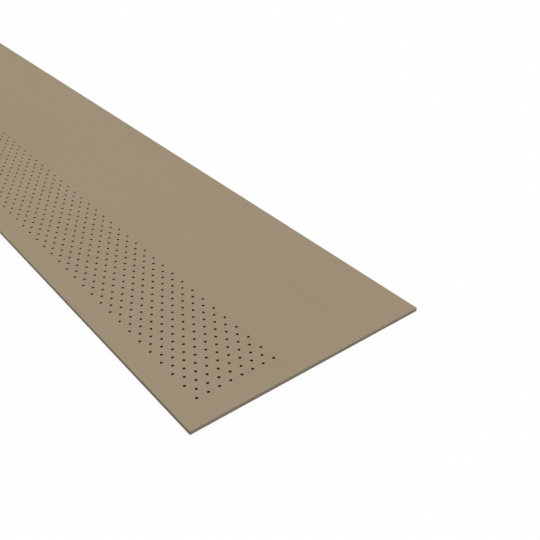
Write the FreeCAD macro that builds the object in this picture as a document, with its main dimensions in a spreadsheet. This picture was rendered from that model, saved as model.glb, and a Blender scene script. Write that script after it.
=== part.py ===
import FreeCAD, Part
import math
import os

import Sketcher

# A vented soffit panel: one flat board with a band of small perforations along one long edge.
# X runs along the board, Y across it from the vented edge to the plain edge, and Z up out of the painted face.
# The origin is at the middle of the back face. Lengths are in millimetres.
# The lattice has its full pitch and margins, and one place in four of it is cut: each row of the board takes
# every second line, and neighbouring rows take turns. The rows halfway between are left out.

NODE = "soffit_panel"

# Driving dimensions: alias, value and what it measures
DIMENSIONS = [
    ("panel_length", 3657.6, "length of the board"),
    ("panel_width", 406.4, "width of the board"),
    ("panel_thickness", 6.35, "thickness of the board"),
    ("arris_ease", 0.4, "width of the eased arris round the painted face"),
    ("perforation_diameter", 4.3, "diameter of a perforation"),
    ("perforation_sides", 5, "flats in the wall of a perforation, which has the round one's area"),
    ("pitch_along", 29.03, "distance from row to row along the board"),
    ("pitch_across", 18.14, "distance from line to line across the board"),
    ("lines_across", 8, "lines of perforations in the band"),
    ("turn_rows", 2, "rows over which neighbouring lines take turns"),
    ("end_margin", 43.4, "distance from an end of the board to the first row"),
    ("edge_margin", 39.2, "distance from the vented edge to the first line"),
]

# How far the volume that the perforations take may be from the one worked out, as a share of it
VOLUME_TOLERANCE = 0.001


def add_sheet(doc):
    sheet = doc.addObject("Spreadsheet::Sheet", "Sizes")
    for cell_row, (alias, value, meaning) in enumerate(DIMENSIONS, start=1):
        sheet.set(f"A{cell_row}", alias)
        sheet.set(f"B{cell_row}", str(value))
        sheet.setAlias(f"B{cell_row}", alias)
        sheet.set(f"C{cell_row}", meaning)
    doc.recompute()
    return sheet


def origin_feature(body, role):
    return next(feature for feature in body.Origin.OriginFeatures if feature.Role == role)


def add_sketch(body, name):
    sketch = body.newObject("Sketcher::SketchObject", name)
    sketch.AttachmentSupport = (origin_feature(body, "XY_Plane"), [""])
    sketch.MapMode = "FlatFace"
    return sketch


def add_closed_lines(sketch, corners):
    lines = []
    for corner, following in zip(corners, corners[1:] + corners[:1]):
        lines.append(sketch.addGeometry(Part.LineSegment(corner, following)))
    for line, following in zip(lines, lines[1:] + lines[:1]):
        sketch.addConstraint(Sketcher.Constraint("Coincident", line, 2, following, 1))
    return lines


def bind(sketch, name, constraint, expression):
    index = sketch.addConstraint(constraint)
    sketch.renameConstraint(index, name)
    sketch.setExpression(f"Constraints.{name}", expression)


# The board: a rectangle about the origin, padded up to the painted face
def add_board(body, sheet):
    sketch = add_sketch(body, "BoardOutline")
    half_length = sheet.panel_length / 2
    half_width = sheet.panel_width / 2
    corners = [
        FreeCAD.Vector(-half_length, -half_width, 0),
        FreeCAD.Vector(half_length, -half_width, 0),
        FreeCAD.Vector(half_length, half_width, 0),
        FreeCAD.Vector(-half_length, half_width, 0),
    ]
    vented_edge, first_end, plain_edge, last_end = add_closed_lines(sketch, corners)
    for line in (vented_edge, plain_edge):
        sketch.addConstraint(Sketcher.Constraint("Horizontal", line))
    for line in (first_end, last_end):
        sketch.addConstraint(Sketcher.Constraint("Vertical", line))
    sketch.addConstraint(Sketcher.Constraint("Symmetric", vented_edge, 1, plain_edge, 1, -1, 1))
    along = Sketcher.Constraint("DistanceX", vented_edge, 1, vented_edge, 2, sheet.panel_length)
    bind(sketch, "along", along, "Sizes.panel_length")
    across = Sketcher.Constraint("DistanceY", first_end, 1, first_end, 2, sheet.panel_width)
    bind(sketch, "across", across, "Sizes.panel_width")

    board = body.newObject("PartDesign::Pad", "Board")
    board.Profile = sketch
    board.setExpression("Length", "Sizes.panel_thickness")
    body.Document.recompute()
    return board


# The painted face's four edges lose their sharp corner, and the back keeps its square cut
def add_arris(body, board):
    face_height = board.Shape.BoundBox.ZMax
    face_edges = [
        f"Edge{number}"
        for number, edge in enumerate(board.Shape.Edges, start=1)
        if all(math.isclose(vertex.Z, face_height) for vertex in edge.Vertexes)
    ]
    arris = body.newObject("PartDesign::Chamfer", "EasedArris")
    arris.Base = (board, face_edges)
    arris.setExpression("Size", "Sizes.arris_ease")
    body.Document.recompute()
    return arris


# One perforation in a sketch, with its middle bound to a row and a line of the lattice
def add_perforation(sketch, sheet, row, line):
    middle = FreeCAD.Vector(
        sheet.panel_length / 2 - sheet.end_margin - row * sheet.pitch_along,
        sheet.edge_margin - sheet.panel_width / 2 + line * sheet.pitch_across,
        0,
    )
    radius = sheet.perforation_diameter / 2
    sides = int(sheet.perforation_sides)
    turns = [2 * math.pi * side / sides for side in range(sides)]
    corners = [middle + FreeCAD.Vector(math.cos(turn), math.sin(turn), 0) * radius for turn in turns]
    walls = add_closed_lines(sketch, corners)
    circle = sketch.addGeometry(Part.Circle(middle, FreeCAD.Vector(0, 0, 1), radius), True)
    for wall in walls:
        sketch.addConstraint(Sketcher.Constraint("PointOnObject", wall, 1, circle))
    for wall in walls[1:]:
        sketch.addConstraint(Sketcher.Constraint("Equal", walls[0], wall))
    sketch.addConstraint(Sketcher.Constraint("Horizontal", walls[0], 1, circle, 3))

    # The corners stand a little outside the round wall, so that the opening has the same area
    same_area = f"sqrt(2 * pi / ({sides} * sin(360 deg / {sides})))"
    corner_radius = Sketcher.Constraint("Radius", circle, radius)
    bind(sketch, f"line{line}_radius", corner_radius, f"Sizes.perforation_diameter / 2 * {same_area}")
    middle_x = Sketcher.Constraint("DistanceX", -1, 1, circle, 3, middle.x)
    first_x = "Sizes.panel_length / 2 - Sizes.end_margin"
    bind(sketch, f"line{line}_x", middle_x, f"{first_x} - {row} * Sizes.pitch_along")
    middle_y = Sketcher.Constraint("DistanceY", -1, 1, circle, 3, middle.y)
    first_y = "Sizes.edge_margin - Sizes.panel_width / 2"
    bind(sketch, f"line{line}_y", middle_y, f"{first_y} + {line} * Sizes.pitch_across")


# The first rows beside the end, with one perforation on each line, cut up through the board
def add_first_rows(body, sheet):
    sketch = add_sketch(body, "FirstRowsOutline")
    for line in range(int(sheet.lines_across)):
        add_perforation(sketch, sheet, line % int(sheet.turn_rows), line)
    rows = body.newObject("PartDesign::Pocket", "FirstRows")
    rows.Profile = sketch
    rows.Type = "ThroughAll"
    rows.Reversed = True
    body.Document.recompute()
    return rows


# The band: the first rows repeated along the board, up to the margin at its other end
def add_band(body, rows):
    band = body.newObject("PartDesign::LinearPattern", "VentBand")
    band.Originals = [rows]
    band.Direction = (origin_feature(body, "X_Axis"), [""])
    band.Reversed = True
    band.Mode = "Spacing"
    band.Refine = False
    band.setExpression("Offset", "Sizes.turn_rows * Sizes.pitch_along")
    whole_pitches = "floor((Sizes.panel_length - 2 * Sizes.end_margin) / Sizes.pitch_along)"
    band.setExpression("Occurrences", f"floor(({whole_pitches} + 1) / Sizes.turn_rows)")
    body.Tip = band
    body.Document.recompute()
    return band


# Every feature is sound, and the perforations take the volume that their number and size say
def check_model(doc, sheet, uncut, band):
    for item in doc.Objects:
        if "Invalid" in item.State or "Error" in item.State:
            raise RuntimeError(f"{item.Name} failed: {item.State}")
    if band.Shape.isNull() or not band.Shape.isValid():
        raise RuntimeError("the panel is not a valid solid")
    perforations = band.Occurrences * int(sheet.lines_across)
    opening = math.pi * sheet.perforation_diameter**2 / 4
    expected = perforations * opening * sheet.panel_thickness
    taken = uncut.Shape.Volume - band.Shape.Volume
    if not math.isclose(taken, expected, rel_tol=VOLUME_TOLERANCE):
        raise RuntimeError(f"the perforations took {taken} mm3 of {expected} mm3")
    print(f"{perforations} perforations took {taken:.0f} mm3, and the panel keeps {band.Shape.Volume:.0f} mm3")


def main():
    doc = FreeCAD.newDocument("SoffitVent")
    sheet = add_sheet(doc)
    body = doc.addObject("PartDesign::Body", NODE)
    body.Label = NODE
    body.Placement = FreeCAD.Placement()
    board = add_board(body, sheet)
    arris = add_arris(body, board)
    rows = add_first_rows(body, sheet)
    band = add_band(body, rows)
    check_model(doc, sheet, arris, band)
    os.makedirs("parts", exist_ok=True)
    body.Shape.exportStep(f"parts/{body.Label}.step")


main()
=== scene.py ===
import math

import bmesh
import bpy
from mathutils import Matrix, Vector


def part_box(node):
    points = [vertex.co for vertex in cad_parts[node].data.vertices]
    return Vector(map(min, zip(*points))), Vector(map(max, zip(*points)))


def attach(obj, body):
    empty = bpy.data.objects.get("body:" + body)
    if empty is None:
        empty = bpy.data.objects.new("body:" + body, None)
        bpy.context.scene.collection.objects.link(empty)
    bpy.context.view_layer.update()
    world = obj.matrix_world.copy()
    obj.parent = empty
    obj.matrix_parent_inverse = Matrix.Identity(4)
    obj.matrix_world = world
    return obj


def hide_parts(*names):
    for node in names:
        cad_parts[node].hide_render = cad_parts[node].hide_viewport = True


# Vented soffit board, lying painted face up, in metres
# +X runs to the near end, +Y from the vented edge to the plain edge

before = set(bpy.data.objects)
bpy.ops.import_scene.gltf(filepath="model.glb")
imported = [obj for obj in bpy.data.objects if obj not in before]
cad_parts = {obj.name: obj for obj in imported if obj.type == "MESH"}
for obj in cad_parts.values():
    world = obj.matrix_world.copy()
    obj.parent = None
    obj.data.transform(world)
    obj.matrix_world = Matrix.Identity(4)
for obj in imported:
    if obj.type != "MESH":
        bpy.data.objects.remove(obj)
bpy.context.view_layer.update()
boardLow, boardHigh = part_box("soffit_panel")
boardSize = boardHigh - boardLow
print("frame loaded, board", [round(side, 4) for side in boardSize])


# A socket of a node tree: sums on it add Math nodes, and node() adds any other node
class Wire:
    def __init__(self, tree, socket=None):
        self.tree = tree
        self.socket = socket

    # gives the output that out names, or else the first
    def node(self, kind, settings=None, sockets=None, out=None):
        made = self.tree.nodes.new(kind)
        for name, value in (settings or {}).items():
            setattr(made, name, value)
        for key, value in (sockets or {}).items():
            self.feed(made, key, value)
        outputs = [socket for socket in made.outputs if socket.enabled]
        if out:
            return Wire(self.tree, next(socket for socket in outputs if socket.name == out))
        return Wire(self.tree, outputs[0] if outputs else None)

    # key is a socket's number, identifier or name, and a list of wires all go into it
    def feed(self, made, key, value):
        if isinstance(key, str):
            live = [socket for socket in made.inputs if socket.enabled]
            target = next(socket for socket in live if key in (socket.identifier, socket.name))
        else:
            target = made.inputs[key]
        for item in value if isinstance(value, list) else [value]:
            if isinstance(item, Wire):
                self.tree.links.new(item.socket, target)
            else:
                target.default_value = item

    def maths(self, operation, *values):
        return self.node("ShaderNodeMath", {"operation": operation}, dict(enumerate(values)))

    def __add__(self, other):
        return self.maths("ADD", self, other)

    def __sub__(self, other):
        return self.maths("SUBTRACT", self, other)

    def __rsub__(self, other):
        return self.maths("SUBTRACT", other, self)

    def __mul__(self, other):
        return self.maths("MULTIPLY", self, other)

    def __truediv__(self, other):
        return self.maths("DIVIDE", self, other)

    def __rtruediv__(self, other):
        return self.maths("DIVIDE", other, self)

    def __lt__(self, other):
        return self.maths("LESS_THAN", self, other)

    def __gt__(self, other):
        return self.maths("GREATER_THAN", self, other)

    __radd__ = __add__
    __rmul__ = __mul__

    def atMost(self, other):
        return self.maths("MINIMUM", self, other)

    def atLeast(self, other):
        return self.maths("MAXIMUM", self, other)

    def magnitude(self):
        return self.maths("ABSOLUTE", self)

    def sine(self):
        return self.maths("SINE", self)

    # 0 below low, 1 above high, eased between
    def rise(self, low, high):
        sockets = {"Value": self, "From Min": low, "From Max": high}
        return self.node("ShaderNodeMapRange", {"interpolation_type": "SMOOTHSTEP"}, sockets)

    def parts(self):
        split = self.node("ShaderNodeSeparateXYZ", sockets={0: self}).socket.node
        return [Wire(self.tree, socket) for socket in split.outputs]

    def join(self, x, y, z):
        return self.node("ShaderNodeCombineXYZ", sockets={0: x, 1: y, 2: z})

    # waves are per metre along the board, across it and up
    def noise(self, waves, seed=0.0, detail=1.0, roughness=0.5):
        spread = {0: self, 1: waves, 2: (0.0, 0.0, seed)}
        spot = self.node("ShaderNodeVectorMath", {"operation": "MULTIPLY_ADD"}, spread)
        sockets = {"Vector": spot, "Scale": 1.0, "Detail": detail, "Roughness": roughness}
        return self.node("ShaderNodeTexNoise", sockets=sockets)

    def blend(self, factor, first, second):
        sockets = {"Factor_Float": factor, "A_Color": first, "B_Color": second}
        return self.node("ShaderNodeMix", {"data_type": "RGBA"}, sockets)


# levels from 0 to 255, as a screen has them, turned into light
def linearColour(red, green, blue):
    def linear(level):
        share = level / 255
        return share / 12.92 if share <= 0.04045 else ((share + 0.055) / 1.055) ** 2.4

    return (linear(red), linear(green), linear(blue), 1.0)


# Wood grain pressed into the face: thin grooves along the board, in a few bundles and faint between them
# The same field moves the face's vertices and drives the paint's bump, and its colour as painted shade in
# the grooves and painted highlight on the crests
grain = {
    "depth": 0.00012,
    # coarse and fine grooves: pitch, how many pitches they stray, share of the depth, and seed
    "grooves": [
        {"pitch": 0.0072, "stray": 1.6, "share": 1.0, "seed": 3.7},
        {"pitch": 0.0045, "stray": 2.0, "share": 0.7, "seed": 8.1},
    ],
    "strayWaves": (1.7, 26.0, 0.0),
    "breakWaves": (5.0, 130.0, 0.0),
    "breakSeed": 2.7,                 # on top of the groove's own
    "unbroken": (0.34, 0.62),         # noise at which a groove sets in and is whole
    "quiet": 0.10,                    # share of the depth between bundles
    # each bundle's middle across the board, half width, depth, drift across by its far end,
    # and how far in from the near end it starts to fade and is gone
    "bundles": [
        {"middle": 0.085, "half": 0.018, "depth": 1.8, "drift": 0.008, "fades": 0.07, "gone": 0.47},
        {"middle": 0.026, "half": 0.020, "depth": 0.95, "drift": 0.066, "fades": 0.20, "gone": 0.80},
        {"middle": -0.188, "half": 0.016, "depth": 0.4, "drift": 0.000, "fades": 0.90, "gone": 1.10},
    ],
    # further in than this, bundles set in and are full where the noise has them
    "scatterFrom": (1.5, 1.8),
    "scatter": {"waves": (0.9, 14.0, 0.0), "seed": 9.2},
    "scatterEdge": (0.55, 0.70),
}


# how deep the grooves are at each place, and the share of the depth that its bundle gives them
def grainField(place):
    x, y = place.parts()[:2]
    inFromEnd = boardHigh.x - x
    cut = None
    for groove in grain["grooves"]:
        stray = (place.noise(grain["strayWaves"], groove["seed"]) - 0.5) * groove["stray"]
        wave = ((y / groove["pitch"] + stray) * (2 * math.pi)).sine() * 0.5 + 0.5
        breaks = place.noise(grain["breakWaves"], groove["seed"] + grain["breakSeed"])
        line = wave * wave * breaks.rise(*grain["unbroken"]) * groove["share"]
        cut = line if cut is None else cut.atLeast(line)
    scattered = place.noise(**grain["scatter"]).rise(*grain["scatterEdge"])
    share = scattered * inFromEnd.rise(*grain["scatterFrom"])
    for bundle in grain["bundles"]:
        along = (inFromEnd / bundle["gone"]).atLeast(0.0).atMost(1.0)
        away = (y - bundle["middle"] - along * along * bundle["drift"]) / bundle["half"]
        hump = (1.0 - away * away).atLeast(0.0) * bundle["depth"]
        share = share.atLeast(hump * (1.0 - inFromEnd.rise(bundle["fades"], bundle["gone"])))
    share = share * (1.0 - grain["quiet"]) + grain["quiet"]
    return cut * share, share


# Paint, cut edge, back and perforation walls
paint = {
    "light": linearColour(162, 146, 123),
    "dark": linearColour(150, 134, 111),
    "tone": 0.48,                     # of the plain face, from light to dark
    "roughness": 0.8,
    "shine": 0.07,
    "paintedGrooveShade": 0.50,                # painted shade: how far a groove goes towards the dark tone
    "paintedCrestLight": 0.35,                    # painted highlight: share of that by which the crests are lighter
    "grainRoughness": 0.08,
    "mottle": {"waves": (2.0, 5.0, 1.0), "detail": 3.0},
    "mottleTone": 0.5,
    "streak": {"waves": (6.0, 420.0, 1.0), "detail": 2.0},
    "streakTone": 0.35,
    "streakHeight": 2.0,              # in heights of the peel
    "pores": {"waves": (16.0, 800.0, 0.0), "seed": 2.3},    # short and fine, between the grooves
    "poreEdge": (0.58, 0.70),
    # painted shade in the sunk pores
    "paintedPoreShade": 0.25,
    "poreDepth": 0.00004,
    "speck": {"waves": (700.0, 700.0, 700.0)},
    "speckTone": 0.3,
    "speckRoughness": 0.12,
    "peel": 0.000012,                 # height of the paint's fine peel
}
# The cut edges: the raw board's greyer colour, made darker still as painted shade on the board's sides
cutEdge = {
    "light": linearColour(130, 121, 106),
    "dark": linearColour(106, 98, 85),
    "layers": {"waves": (30.0, 30.0, 1500.0), "detail": 2.0, "roughness": 0.6},
    "layerShare": 0.6,                # of the tone, and the rest is grit
    "grit": {"waves": (500.0, 500.0, 500.0), "detail": 2.0},
    "roughness": 0.9,
    "bump": 0.00005,
}
backFace = {
    "light": linearColour(164, 158, 147),
    "dark": linearColour(144, 138, 127),
    "cloud": {"waves": (3.0, 6.0, 0.0), "seed": 5.1, "detail": 3.0},
    "cloudShare": 0.6,                # of the tone, and the rest is felt
    "felt": {"waves": (420.0, 420.0, 1.0), "detail": 2.0},
    "roughness": 0.88,
    "bump": 0.00006,
}
# The perforation walls: coloured near black as painted shade for the shade inside the perforations, darker
# than the raw board is
holeWall = {
    "light": linearColour(46, 31, 19),
    "dark": linearColour(26, 16, 9),
    "grit": {"waves": (600.0, 600.0, 600.0), "detail": 2.0},
    "roughness": 0.95,
}
raw = {                               # what the three unpainted finishes share
    "toneEdge": (0.35, 0.65),         # noise at which the light tone ends and the dark one is full
    "roughSpread": 0.1,
    "shine": 0.2,
}


def newMaterial(name):
    material = bpy.data.materials.new(name)
    material.use_nodes = True
    material.node_tree.nodes.clear()
    bench = Wire(material.node_tree)
    place = bench.node("ShaderNodeTexCoord", out="Object")
    return material, bench, place


def finishMaterial(bench, colour, roughness, shine, height=None):
    sockets = {"Base Color": colour, "Roughness": roughness, "Specular IOR Level": shine}
    if height is not None:
        relief = {"Strength": 1.0, "Distance": 1.0, "Height": height}    # in metres
        sockets["Normal"] = bench.node("ShaderNodeBump", sockets=relief)
    shader = bench.node("ShaderNodeBsdfPrincipled", sockets=sockets)
    bench.node("ShaderNodeOutputMaterial", sockets={"Surface": shader})


def finishRaw(bench, finish, tone, grit, height=None):
    colour = bench.blend(tone.rise(*raw["toneEdge"]), finish["light"], finish["dark"])
    roughness = finish["roughness"] + (grit - 0.5) * raw["roughSpread"]
    finishMaterial(bench, colour, roughness, raw["shine"], height)


def paintMaterial():
    material, bench, place = newMaterial("tanGrainPaint")
    grooves, share = grainField(place)
    mottle = place.noise(**paint["mottle"]) - 0.5
    streak = place.noise(**paint["streak"]) - 0.5
    pores = place.noise(**paint["pores"]).rise(*paint["poreEdge"])
    speck = place.noise(**paint["speck"]) - 0.5
    # painted shade in the grooves and painted highlight on the crests
    tone = paint["tone"] + (grooves - share * paint["paintedCrestLight"]) * paint["paintedGrooveShade"]
    tone = tone + mottle * paint["mottleTone"] + streak * paint["streakTone"]
    # painted shade in the pores, and random specks
    tone = tone + pores * paint["paintedPoreShade"] + speck * paint["speckTone"]
    colour = bench.blend(tone.atLeast(0.0).atMost(1.0), paint["light"], paint["dark"])
    roughness = paint["roughness"] + speck * paint["speckRoughness"] + grooves * paint["grainRoughness"]
    peel = (speck + streak * paint["streakHeight"]) * paint["peel"]
    height = peel - grooves * grain["depth"] - pores * paint["poreDepth"]
    finishMaterial(bench, colour, roughness, paint["shine"], height)
    return material


# painted shade on the cut edges, over the raw board's greyer colour
def cutEdgeMaterial():
    material, bench, place = newMaterial("rawCutEdgeAndShade")
    layers = place.noise(**cutEdge["layers"])
    grit = place.noise(**cutEdge["grit"])
    tone = layers * cutEdge["layerShare"] + grit * (1.0 - cutEdge["layerShare"])
    finishRaw(bench, cutEdge, tone, grit, (layers + grit) * cutEdge["bump"])
    return material


def backMaterial():
    material, bench, place = newMaterial("rawBack")
    cloud = place.noise(**backFace["cloud"])
    felt = place.noise(**backFace["felt"])
    tone = felt * (1.0 - backFace["cloudShare"]) + cloud * backFace["cloudShare"]
    finishRaw(bench, backFace, tone, felt, felt * backFace["bump"])
    return material


# painted shade on the perforation walls
def holeWallMaterial():
    material, bench, place = newMaterial("paintedShadeHoleWall")
    grit = place.noise(**holeWall["grit"])
    finishRaw(bench, holeWall, grit, grit)
    return material


# The board: a closed shell with a fine grid on its face, which the tree below grains and perforates
board = {
    "arris": 0.0004,
    "columns": 300,                   # grid squares across the face
    "rows": 48,                       # grid squares along the face
    "creaseDegrees": 35.0,
    "wallTilt": 0.3,                  # a face is a wall if its normal rises or falls by less
}
band = {                              # named as the tree's inputs
    "Hole Diameter": 0.0043,
    "Hole Sides": 12,
    "Pitch Along": 0.02903,
    "Pitch Across": 0.01814,
    "Lines": 8,
    "End Margin": 0.0434,
    "Edge Margin": 0.0392,
}


def boardShell(edgeFinish):
    arris = board["arris"]
    rows, columns = board["rows"], board["columns"]
    top = boardHigh.z
    farX, nearX = boardLow.x + arris, boardHigh.x - arris
    ventedY, plainY = boardLow.y + arris, boardHigh.y - arris
    points = []
    for row in range(rows + 1):
        for column in range(columns + 1):
            x = farX + (nearX - farX) * row / rows
            y = ventedY + (plainY - ventedY) * column / columns
            points.append((x, y, top))

    def at(row, column):
        return row * (columns + 1) + column

    faces = []
    for row in range(rows):
        for column in range(columns):
            ventedSide = (at(row, column), at(row + 1, column))
            plainSide = (at(row + 1, column + 1), at(row, column + 1))
            faces.append(ventedSide + plainSide)

    # round the face, anticlockwise from above, then out to the arris's foot and down to the back
    rim = [at(row, 0) for row in range(rows)]
    rim += [at(rows, column) for column in range(columns)]
    rim += [at(row, columns) for row in range(rows, 0, -1)]
    rim += [at(0, column) for column in range(columns, 0, -1)]
    rings = [rim]
    for height in (top - arris, boardLow.z):
        ring = []
        for corner in rim:
            x, y, z = points[corner]
            x = boardLow.x if x <= farX else boardHigh.x if x >= nearX else x
            y = boardLow.y if y <= ventedY else boardHigh.y if y >= plainY else y
            ring.append(len(points))
            points.append((x, y, height))
        rings.append(ring)
    for upper, lower in zip(rings, rings[1:]):
        for corner in range(len(rim)):
            following = (corner + 1) % len(rim)
            faces.append((upper[corner], lower[corner], lower[following], upper[following]))
    faces.append(tuple(reversed(rings[-1])))

    mesh = bpy.data.meshes.new("ventedBoard")
    mesh.from_pydata(points, [], faces)
    mesh.materials.append(edgeFinish)
    return mesh


def newTree(name, numbers):
    tree = bpy.data.node_groups.new(name, "GeometryNodeTree")
    tree.interface.new_socket("Geometry", in_out="INPUT", socket_type="NodeSocketGeometry")
    tree.interface.new_socket("Geometry", in_out="OUTPUT", socket_type="NodeSocketGeometry")
    for label, value in numbers.items():
        kind = "NodeSocketInt" if isinstance(value, int) else "NodeSocketFloat"
        tree.interface.new_socket(label, in_out="INPUT", socket_type=kind)
    given = tree.nodes.new("NodeGroupInput")
    return tree, {socket.name: Wire(tree, socket) for socket in given.outputs if socket.name}


# the face's vertices, lowered by the grain
def grainedShell(bench, given, place):
    onFace = place.parts()[2] > given["Thickness"] - 0.5 * given["Arris"]
    grooves = grainField(place)[0]
    sunk = bench.join(0.0, 0.0, grooves * given["Grain Depth"] * -1.0)
    sockets = {"Geometry": given["Geometry"], "Selection": onFace, "Offset": sunk}
    return bench.node("GeometryNodeSetPosition", sockets=sockets)


# whole rows and lines, and the staggered ones halfway between
def holePlaces(bench, given):
    run = given["Length"] - 2.0 * given["End Margin"]
    rows = bench.maths("FLOOR", run / given["Pitch Along"]) + 1.0
    lattices = []
    for fewer in (0.0, 1.0):
        alongCount = rows - fewer
        acrossCount = given["Lines"] - fewer
        sockets = {
            "Size X": (alongCount - 1.0) * given["Pitch Along"],
            "Size Y": (acrossCount - 1.0) * given["Pitch Across"],
            "Vertices X": alongCount,
            "Vertices Y": acrossCount,
        }
        lattices.append(bench.node("GeometryNodeMeshGrid", sockets=sockets))
    both = bench.node("GeometryNodeJoinGeometry", sockets={0: lattices})
    bandLength = (rows - 1.0) * given["Pitch Along"]
    bandWidth = (given["Lines"] - 1.0) * given["Pitch Across"]
    middleX = (given["Length"] - bandLength) * 0.5 - given["End Margin"]
    middleY = given["Edge Margin"] + (bandWidth - given["Width"]) * 0.5
    middle = bench.join(middleX, middleY, given["Thickness"] * 0.5)
    return bench.node("GeometryNodeTransform", sockets={"Geometry": both, "Translation": middle})


# one cutter on each place
# its corners stand a little outside the round wall, so that the opening has the same area
def holeCutters(bench, given):
    wedge = 2 * math.pi / given["Hole Sides"]
    sameArea = bench.maths("SQRT", wedge / wedge.sine())
    sockets = {
        "Vertices": given["Hole Sides"],
        "Radius": given["Hole Diameter"] * 0.5 * sameArea,
        "Depth": given["Thickness"] * 2.0,    # well past both faces
    }
    cutter = bench.node("GeometryNodeMeshCylinder", sockets=sockets)
    sockets = {"Points": holePlaces(bench, given), "Instance": cutter}
    cutters = bench.node("GeometryNodeInstanceOnPoints", sockets=sockets)
    return bench.node("GeometryNodeRealizeInstances", sockets={0: cutters})


# finishes by where a face looks, and for hole walls by where it lies
def finishedFaces(bench, given, place, whole, finishes):
    x, y = place.parts()[:2]
    up = bench.node("GeometryNodeInputNormal", out="True Normal").parts()[2]
    tilt = board["wallTilt"]
    onWall = up.magnitude() < tilt
    insideX = x.magnitude() < (given["Length"] - given["End Margin"]) * 0.5
    insideY = y.magnitude() < (given["Width"] - given["Edge Margin"]) * 0.5
    inside = insideX * insideY
    selections = {
        "paint": up > tilt,
        "back": up < -tilt,
        "hole": onWall * inside,
        "edge": onWall * (1.0 - inside),
    }
    for name, selection in selections.items():
        sockets = {"Geometry": whole, "Selection": selection, "Material": finishes[name]}
        whole = bench.node("GeometryNodeSetMaterial", sockets=sockets)
    return whole


def perforatedTree(numbers, finishes):
    tree, given = newTree("perforatedBoard", numbers)
    bench = Wire(tree)
    place = bench.node("GeometryNodeInputPosition")
    settings = {"operation": "DIFFERENCE", "solver": "MANIFOLD"}
    sockets = {"Mesh 1": grainedShell(bench, given, place), "Mesh 2": holeCutters(bench, given)}
    pierced = bench.node("GeometryNodeMeshBoolean", settings, sockets)
    whole = bench.node("GeometryNodeRealizeInstances", sockets={0: pierced})
    whole = finishedFaces(bench, given, place, whole, finishes)
    bench.node("NodeGroupOutput", sockets={0: whole})
    return tree


# Each side's patch on the baked picture: left, low, right and high as shares of it,
# and which of X, Y and Z run along the patch and up it
bakeMap = {
    "face": {"patch": (0.004, 0.228, 0.996, 0.996), "axes": (0, 1)},
    "back": {"patch": (0.004, 0.052, 0.996, 0.220), "axes": (0, 1)},
    "plainEdge": {"patch": (0.004, 0.036, 0.996, 0.046), "axes": (0, 2)},
    "ventedEdge": {"patch": (0.004, 0.020, 0.996, 0.030), "axes": (0, 2)},
    "nearEnd": {"patch": (0.100, 0.004, 0.520, 0.014), "axes": (1, 2)},
    "farEnd": {"patch": (0.560, 0.004, 0.980, 0.014), "axes": (1, 2)},
    "holeWall": {"patch": (0.004, 0.004, 0.060, 0.014), "fill": 0.9},    # one for every flat of every hole
}


def sideOf(polygon, finish):
    normal = polygon.normal
    if finish == "tanGrainPaint":
        return "face"
    if finish == "rawBack":
        return "back"
    if finish == "paintedShadeHoleWall":
        return "holeWall"
    if abs(normal.x) > abs(normal.y):
        return "nearEnd" if normal.x > 0 else "farEnd"
    return "plainEdge" if normal.y > 0 else "ventedEdge"


def layOut(mesh):
    layer = mesh.uv_layers.new(name="OFBake")
    flatWidth = math.pi * band["Hole Diameter"] / band["Hole Sides"]
    for polygon in mesh.polygons:
        side = sideOf(polygon, mesh.materials[polygon.material_index].name)
        left, low, right, high = bakeMap[side]["patch"]
        for corner in polygon.loop_indices:
            point = mesh.vertices[mesh.loops[corner].vertex_index].co
            shares = [(point[axis] - boardLow[axis]) / boardSize[axis] for axis in range(3)]
            if side == "holeWall":
                offset = point - polygon.center
                sideways = (polygon.normal.x * offset.y - polygon.normal.y * offset.x) / flatWidth
                along = min(max(0.5 + sideways * bakeMap[side]["fill"], 0.0), 1.0)
                up = shares[2]
            else:
                along, up = [shares[axis] for axis in bakeMap[side]["axes"]]
            layer.uv[corner].vector = (left + (right - left) * along, low + (high - low) * up)


# the cut leaves spare points on straight edges, and faces of many corners that would fall into slivers
def cleanCut(mesh):
    work = bmesh.new()
    work.from_mesh(mesh)
    sparePoints = [point for point in work.verts if len(point.link_edges) == 2]
    bmesh.ops.dissolve_verts(work, verts=sparePoints)
    manyCornered = [face for face in work.faces if len(face.verts) > 4]
    bmesh.ops.triangulate(work, faces=manyCornered, quad_method="BEAUTY", ngon_method="BEAUTY")
    work.to_mesh(mesh)
    work.free()


def makeBoard():
    finishes = {
        "paint": paintMaterial(),
        "edge": cutEdgeMaterial(),
        "back": backMaterial(),
        "hole": holeWallMaterial(),
    }
    print("finishes made:", ", ".join(material.name for material in finishes.values()))
    piece = bpy.data.objects.new("ventedBoard", boardShell(finishes["edge"]))
    bpy.context.scene.collection.objects.link(piece)
    numbers = {
        "Length": boardSize.x,
        "Width": boardSize.y,
        "Thickness": boardSize.z,
        "Arris": board["arris"],
        "Grain Depth": grain["depth"],
        **band,
    }
    tree = perforatedTree(numbers, finishes)
    modifier = piece.modifiers.new("perforate", "NODES")
    modifier.node_group = tree
    for item in tree.interface.items_tree:
        if item.in_out == "INPUT" and item.name in numbers:
            modifier[item.identifier] = numbers[item.name]
    depsgraph = bpy.context.evaluated_depsgraph_get()
    mesh = bpy.data.meshes.new_from_object(piece.evaluated_get(depsgraph), depsgraph=depsgraph)
    piece.modifiers.clear()
    piece.data = mesh
    mesh.name = "ventedBoard"
    layOut(mesh)
    cleanCut(mesh)
    mesh.shade_smooth()
    mesh.set_sharp_from_angle(angle=math.radians(board["creaseDegrees"]))
    mesh.calc_loop_triangles()
    print("board made:", len(mesh.vertices), "points,", len(mesh.loop_triangles), "triangles")
    return piece


piece = makeBoard()
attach(piece, "root")
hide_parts("soffit_panel")


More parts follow.
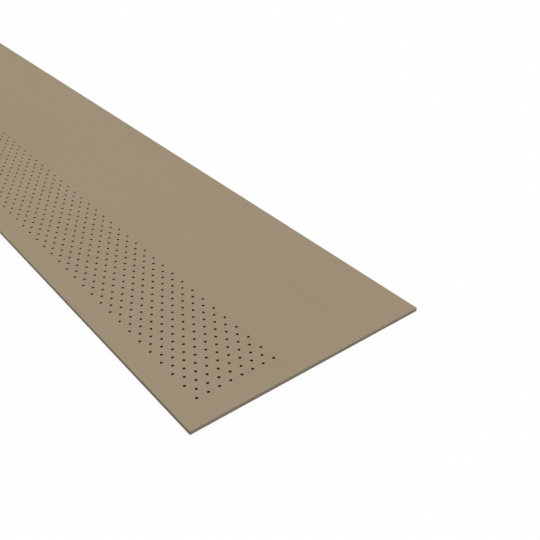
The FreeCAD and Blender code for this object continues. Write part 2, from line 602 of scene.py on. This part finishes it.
# Pale floor, soft sky and one soft sun
studio = {
    "floorSide": 60.0,
    "floorDrop": 0.0002,
    "floorColour": (0.94, 0.94, 0.94, 1.0),
    "floorGlow": 0.88,                # how far the camera sees the floor as plain white
    "white": (1.0, 1.0, 1.0, 1.0),
    "backdropLevel": 1.0,             # as the camera sees it, and the floor's glow too
    "skyLevel": 0.55,                 # as it lights the board
    "sunLevel": 1.65,
    "sunAngle": 50.0,                 # how wide it looks, in degrees
    "sunTilt": 28.0,                  # from overhead
    "sunTurn": 25.0,                  # from +X towards +Y
}


def seenDirectly(bench):
    path = bench.node("ShaderNodeLightPath").socket.node
    names = ("Is Camera Ray", "Is Glossy Ray", "Is Transmission Ray")
    camera, glossy, transmission = [Wire(bench.tree, path.outputs[name]) for name in names]
    return camera.atLeast(glossy).atLeast(transmission)


def makeFloor():
    half = studio["floorSide"] / 2
    level = boardLow.z - studio["floorDrop"]
    corners = [(-half, -half, level), (half, -half, level), (half, half, level), (-half, half, level)]
    mesh = bpy.data.meshes.new("floor")
    mesh.from_pydata(corners, [], [(0, 1, 2, 3)])
    floor = bpy.data.objects.new("floor", mesh)
    bpy.context.scene.collection.objects.link(floor)
    material, bench, place = newMaterial("paleFloor")
    x, y = place.parts()[:2]
    outside = (x.magnitude() > boardHigh.x).atLeast(y.magnitude() > boardHigh.y)    # no glow in the holes
    plain = bench.node("ShaderNodeBsdfDiffuse", sockets={"Color": studio["floorColour"]})
    light = {"Color": studio["white"], "Strength": studio["backdropLevel"]}
    glow = bench.node("ShaderNodeEmission", sockets=light)
    factor = seenDirectly(bench) * outside * studio["floorGlow"]
    mixed = bench.node("ShaderNodeMixShader", sockets={0: factor, 1: plain, 2: glow})
    bench.node("ShaderNodeOutputMaterial", sockets={"Surface": mixed})
    mesh.materials.append(material)


def makeLight():
    world = bpy.data.worlds.new("softSky")
    world.use_nodes = True
    world.node_tree.nodes.clear()
    bench = Wire(world.node_tree)
    sky, backdrop = [
        bench.node("ShaderNodeBackground", sockets={"Color": studio["white"], "Strength": level})
        for level in (studio["skyLevel"], studio["backdropLevel"])
    ]
    mixed = bench.node("ShaderNodeMixShader", sockets={0: seenDirectly(bench), 1: sky, 2: backdrop})
    bench.node("ShaderNodeOutputWorld", sockets={"Surface": mixed})
    bpy.context.scene.world = world
    lamp = bpy.data.lights.new("softSun", "SUN")
    lamp.energy = studio["sunLevel"]
    lamp.angle = math.radians(studio["sunAngle"])
    sun = bpy.data.objects.new("softSun", lamp)
    sun.rotation_euler = (0.0, math.radians(studio["sunTilt"]), math.radians(studio["sunTurn"]))
    bpy.context.scene.collection.objects.link(sun)


# The camera stands beyond the near end, outside the vented edge, and looks down along the board
view = {
    "place": (2.3995, -0.5275, 0.6867),
    "tilt": 55.80,                    # degrees up from straight down
    "turn": 51.76,                    # degrees from +Y towards -X
    "lens": 50.0,                     # millimetres, as the sensor
    "sensor": 36.0,
    "reach": 100.0,
}


def makeCamera():
    lens = bpy.data.cameras.new("camera")
    lens.lens = view["lens"]
    lens.sensor_width = view["sensor"]
    lens.clip_end = view["reach"]
    camera = bpy.data.objects.new("camera", lens)
    camera.location = view["place"]
    camera.rotation_euler = (math.radians(view["tilt"]), 0.0, math.radians(view["turn"]))
    bpy.context.scene.collection.objects.link(camera)
    bpy.context.scene.camera = camera


makeFloor()
makeLight()
makeCamera()
bpy.context.scene.view_settings.view_transform = "Standard"
print("studio made")
